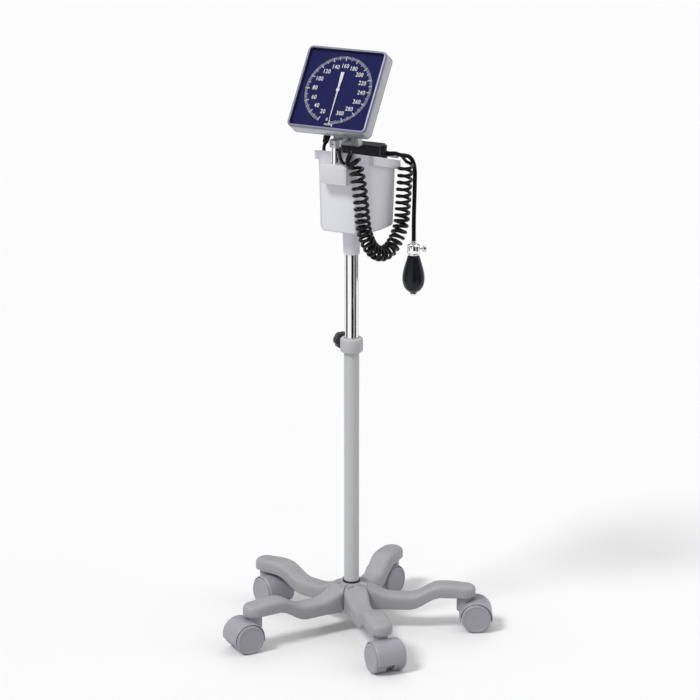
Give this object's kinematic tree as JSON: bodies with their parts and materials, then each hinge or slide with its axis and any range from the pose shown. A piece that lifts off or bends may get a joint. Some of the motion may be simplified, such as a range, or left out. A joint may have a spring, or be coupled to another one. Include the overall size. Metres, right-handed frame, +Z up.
{
  "type": "mobile aneroid sphygmomanometer",
  "caption": "Aneroid blood pressure gauge with a square tilting dial on a height-adjustable rolling stand, with a basket, folded cuff, coiled hose and inflation bulb.",
  "frame": {"origin": "on the floor plane under the wheels, on the column's axis", "axes": "+Z up along the column, -Y towards the front that the dial and the basket's flat wall face, +X to the right seen from the front"},
  "size_m": [0.4333, 0.4281, 0.9899],
  "materials": {
    "base_plastic": "moulded grey nylon with a fine grain",
    "caster_plastic": "grey caster plastic, faintly violet",
    "tube_paint": "light grey powder coat",
    "collar_plastic": "light grey moulding",
    "chrome": "bright chrome plate",
    "bright_steel": "zinc plated steel",
    "black_rubber": "black rubber",
    "guide_plastic": "natural acetal",
    "basket_plastic": "smooth white moulding",
    "holder_plastic": "smooth white moulding, front face bare",
    "knob_plastic": "black moulding",
    "bracket_alloy": "die cast, silver",
    "case_silver": "silver paint",
    "dial_blue": "deep blue dial",
    "clear_cover": "clear moulded cover",
    "needle_white": "white paint",
    "brass": "turned and stamped brass",
    "black_fitting": "black nylon fitting",
    "coil_black": "glossy black hose",
    "cuff_cloth": "dark grey nylon cloth",
    "bulb_rubber": "dark bluish rubber"
  },
  "bodies": {
    "stand": {"base_star": "base_plastic", "column_seal": "black_rubber", "foot_bolt": "bright_steel", "foot_insert": "bright_steel", "lower_tube": "tube_paint", "lock_collar": "collar_plastic", "collar_bush": "guide_plastic"},
    "lock_knob": {"lock_knob": "knob_plastic"},
    "column": {"upper_tube": "chrome", "tube_guide": "guide_plastic", "basket": "basket_plastic", "sleeve_screw": "bright_steel", "post_holder": "holder_plastic", "holder_screws": "bright_steel", "gauge_post": "chrome", "hose_lead": "coil_black", "coiled_hose": "coil_black", "cuff_lead": "coil_black", "bulb_tube": "black_rubber", "cuff": "cuff_cloth", "cuff_connector": "chrome", "valve_body": "chrome", "bulb": "bulb_rubber", "end_valve": "chrome"},
    "valve_knob": {"valve_knob": "chrome"},
    "bracket": {"tilt_bracket": "bracket_alloy", "tilt_bolt": "bright_steel"},
    "head": {"rear_housing": "case_silver", "front_frame": "case_silver", "window": "clear_cover", "dial": "dial_blue", "case_screws": "bright_steel", "movement_frame": "brass", "capsule": "brass", "inlet_pipe": "brass", "hose_elbow": "black_fitting"},
    "needle": {"needle": "needle_white", "pinion": "brass"},
    "sector": {"sector_gear": "brass"},
    "caster_1": {"caster_1_hood": "caster_plastic", "caster_1_pins": "bright_steel"},
    "wheel_1a": {"caster_1_wheel_a": "caster_plastic"},
    "wheel_1b": {"caster_1_wheel_b": "caster_plastic"},
    "caster_2": {"caster_2_hood": "caster_plastic", "caster_2_pins": "bright_steel"},
    "wheel_2a": {"caster_2_wheel_a": "caster_plastic"},
    "wheel_2b": {"caster_2_wheel_b": "caster_plastic"},
    "caster_3": {"caster_3_hood": "caster_plastic", "caster_3_pins": "bright_steel"},
    "wheel_3a": {"caster_3_wheel_a": "caster_plastic"},
    "wheel_3b": {"caster_3_wheel_b": "caster_plastic"},
    "caster_4": {"caster_4_hood": "caster_plastic", "caster_4_pins": "bright_steel"},
    "wheel_4a": {"caster_4_wheel_a": "caster_plastic"},
    "wheel_4b": {"caster_4_wheel_b": "caster_plastic"},
    "caster_5": {"caster_5_hood": "caster_plastic", "caster_5_pins": "bright_steel"},
    "wheel_5a": {"caster_5_wheel_a": "caster_plastic"},
    "wheel_5b": {"caster_5_wheel_b": "caster_plastic"}
  },
  "joints": [
    {"name": "column_slide", "type": "slide", "parent": "stand", "child": "column", "axis": [0, 0, 1], "range_m": [-0.14, 0.19]},
    {"name": "lock_knob_turn", "type": "hinge", "parent": "stand", "child": "lock_knob", "pos_m": [0, 0, 0.49258], "axis": [-0.809, 0.5878, 0], "range_deg": [0, 720]},
    {"name": "valve_knob_turn", "type": "hinge", "parent": "column", "child": "valve_knob", "pos_m": [0.08, 0.066, 0.652], "axis": [0.866, 0.5, 0], "range_deg": [0, 360]},
    {"name": "head_swivel", "type": "hinge", "parent": "column", "child": "bracket", "pos_m": [0, -0.055, 0.8405], "axis": [0, 0, 1], "range_deg": [-15, 45], "deforming": ["hose_lead"]},
    {"name": "head_tilt", "type": "hinge", "parent": "bracket", "child": "head", "pos_m": [0, -0.01331, 0.85655], "axis": [1, 0, 0], "range_deg": [-25, 12], "deforming": ["hose_lead"]},
    {"name": "sector_swing", "type": "hinge", "parent": "head", "child": "sector", "pos_m": [0, -0.06041, 0.90483], "axis": [0, -0.831, 0.5563], "range_deg": [0, 28.25], "stiffness_Nm_per_rad": 0.004},
    {"name": "needle_spin", "type": "hinge", "parent": "head", "child": "needle", "pos_m": [0, -0.0459, 0.9265], "axis": [0, 0.831, -0.5563], "range_deg": [0, 339]},
    {"name": "caster_1_swivel", "type": "hinge", "parent": "stand", "child": "caster_1", "pos_m": [0.17289, 0.07879, 0.0585], "axis": [0, 0, 1], "continuous": true},
    {"name": "wheel_1a_spin", "type": "hinge", "parent": "caster_1", "child": "wheel_1a", "pos_m": [0.19055, 0.08818, 0.025], "axis": [-0.4695, 0.8829, 0], "continuous": true},
    {"name": "wheel_1b_spin", "type": "hinge", "parent": "caster_1", "child": "wheel_1b", "pos_m": [0.19055, 0.08818, 0.025], "axis": [-0.4695, 0.8829, 0], "continuous": true},
    {"name": "caster_2_swivel", "type": "hinge", "parent": "stand", "child": "caster_2", "pos_m": [0.12836, -0.14008, 0.0585], "axis": [0, 0, 1], "continuous": true},
    {"name": "wheel_2a_spin", "type": "hinge", "parent": "caster_2", "child": "wheel_2a", "pos_m": [0.14412, -0.1524, 0.025], "axis": [0.6157, 0.788, 0], "continuous": true},
    {"name": "wheel_2b_spin", "type": "hinge", "parent": "caster_2", "child": "wheel_2b", "pos_m": [0.14412, -0.1524, 0.025], "axis": [0.6157, 0.788, 0], "continuous": true},
    {"name": "caster_3_swivel", "type": "hinge", "parent": "stand", "child": "caster_3", "pos_m": [-0.09356, -0.16537, 0.0585], "axis": [0, 0, 1], "continuous": true},
    {"name": "wheel_3a_spin", "type": "hinge", "parent": "caster_3", "child": "wheel_3a", "pos_m": [-0.10474, -0.18195, 0.025], "axis": [0.829, -0.5592, 0], "continuous": true},
    {"name": "wheel_3b_spin", "type": "hinge", "parent": "caster_3", "child": "wheel_3b", "pos_m": [-0.10474, -0.18195, 0.025], "axis": [0.829, -0.5592, 0], "continuous": true},
    {"name": "caster_4_swivel", "type": "hinge", "parent": "stand", "child": "caster_4", "pos_m": [-0.18619, 0.03788, 0.0585], "axis": [0, 0, 1], "continuous": true},
    {"name": "wheel_4a_spin", "type": "hinge", "parent": "caster_4", "child": "wheel_4a", "pos_m": [-0.16821, 0.02911, 0.025], "axis": [0.4384, 0.8988, 0], "continuous": true},
    {"name": "wheel_4b_spin", "type": "hinge", "parent": "caster_4", "child": "wheel_4b", "pos_m": [-0.16821, 0.02911, 0.025], "axis": [0.4384, 0.8988, 0], "continuous": true},
    {"name": "caster_5_swivel", "type": "hinge", "parent": "stand", "child": "caster_5", "pos_m": [-0.02151, 0.18878, 0.0585], "axis": [0, 0, 1], "continuous": true},
    {"name": "wheel_5a_spin", "type": "hinge", "parent": "caster_5", "child": "wheel_5a", "pos_m": [-0.02567, 0.16922, 0.025], "axis": [0.9781, -0.2079, 0], "continuous": true},
    {"name": "wheel_5b_spin", "type": "hinge", "parent": "caster_5", "child": "wheel_5b", "pos_m": [-0.02567, 0.16922, 0.025], "axis": [0.9781, -0.2079, 0], "continuous": true}
  ],
  "couplings": [
    {"joint": "needle_spin", "follows": "sector_swing", "ratio": 12}
  ]
}
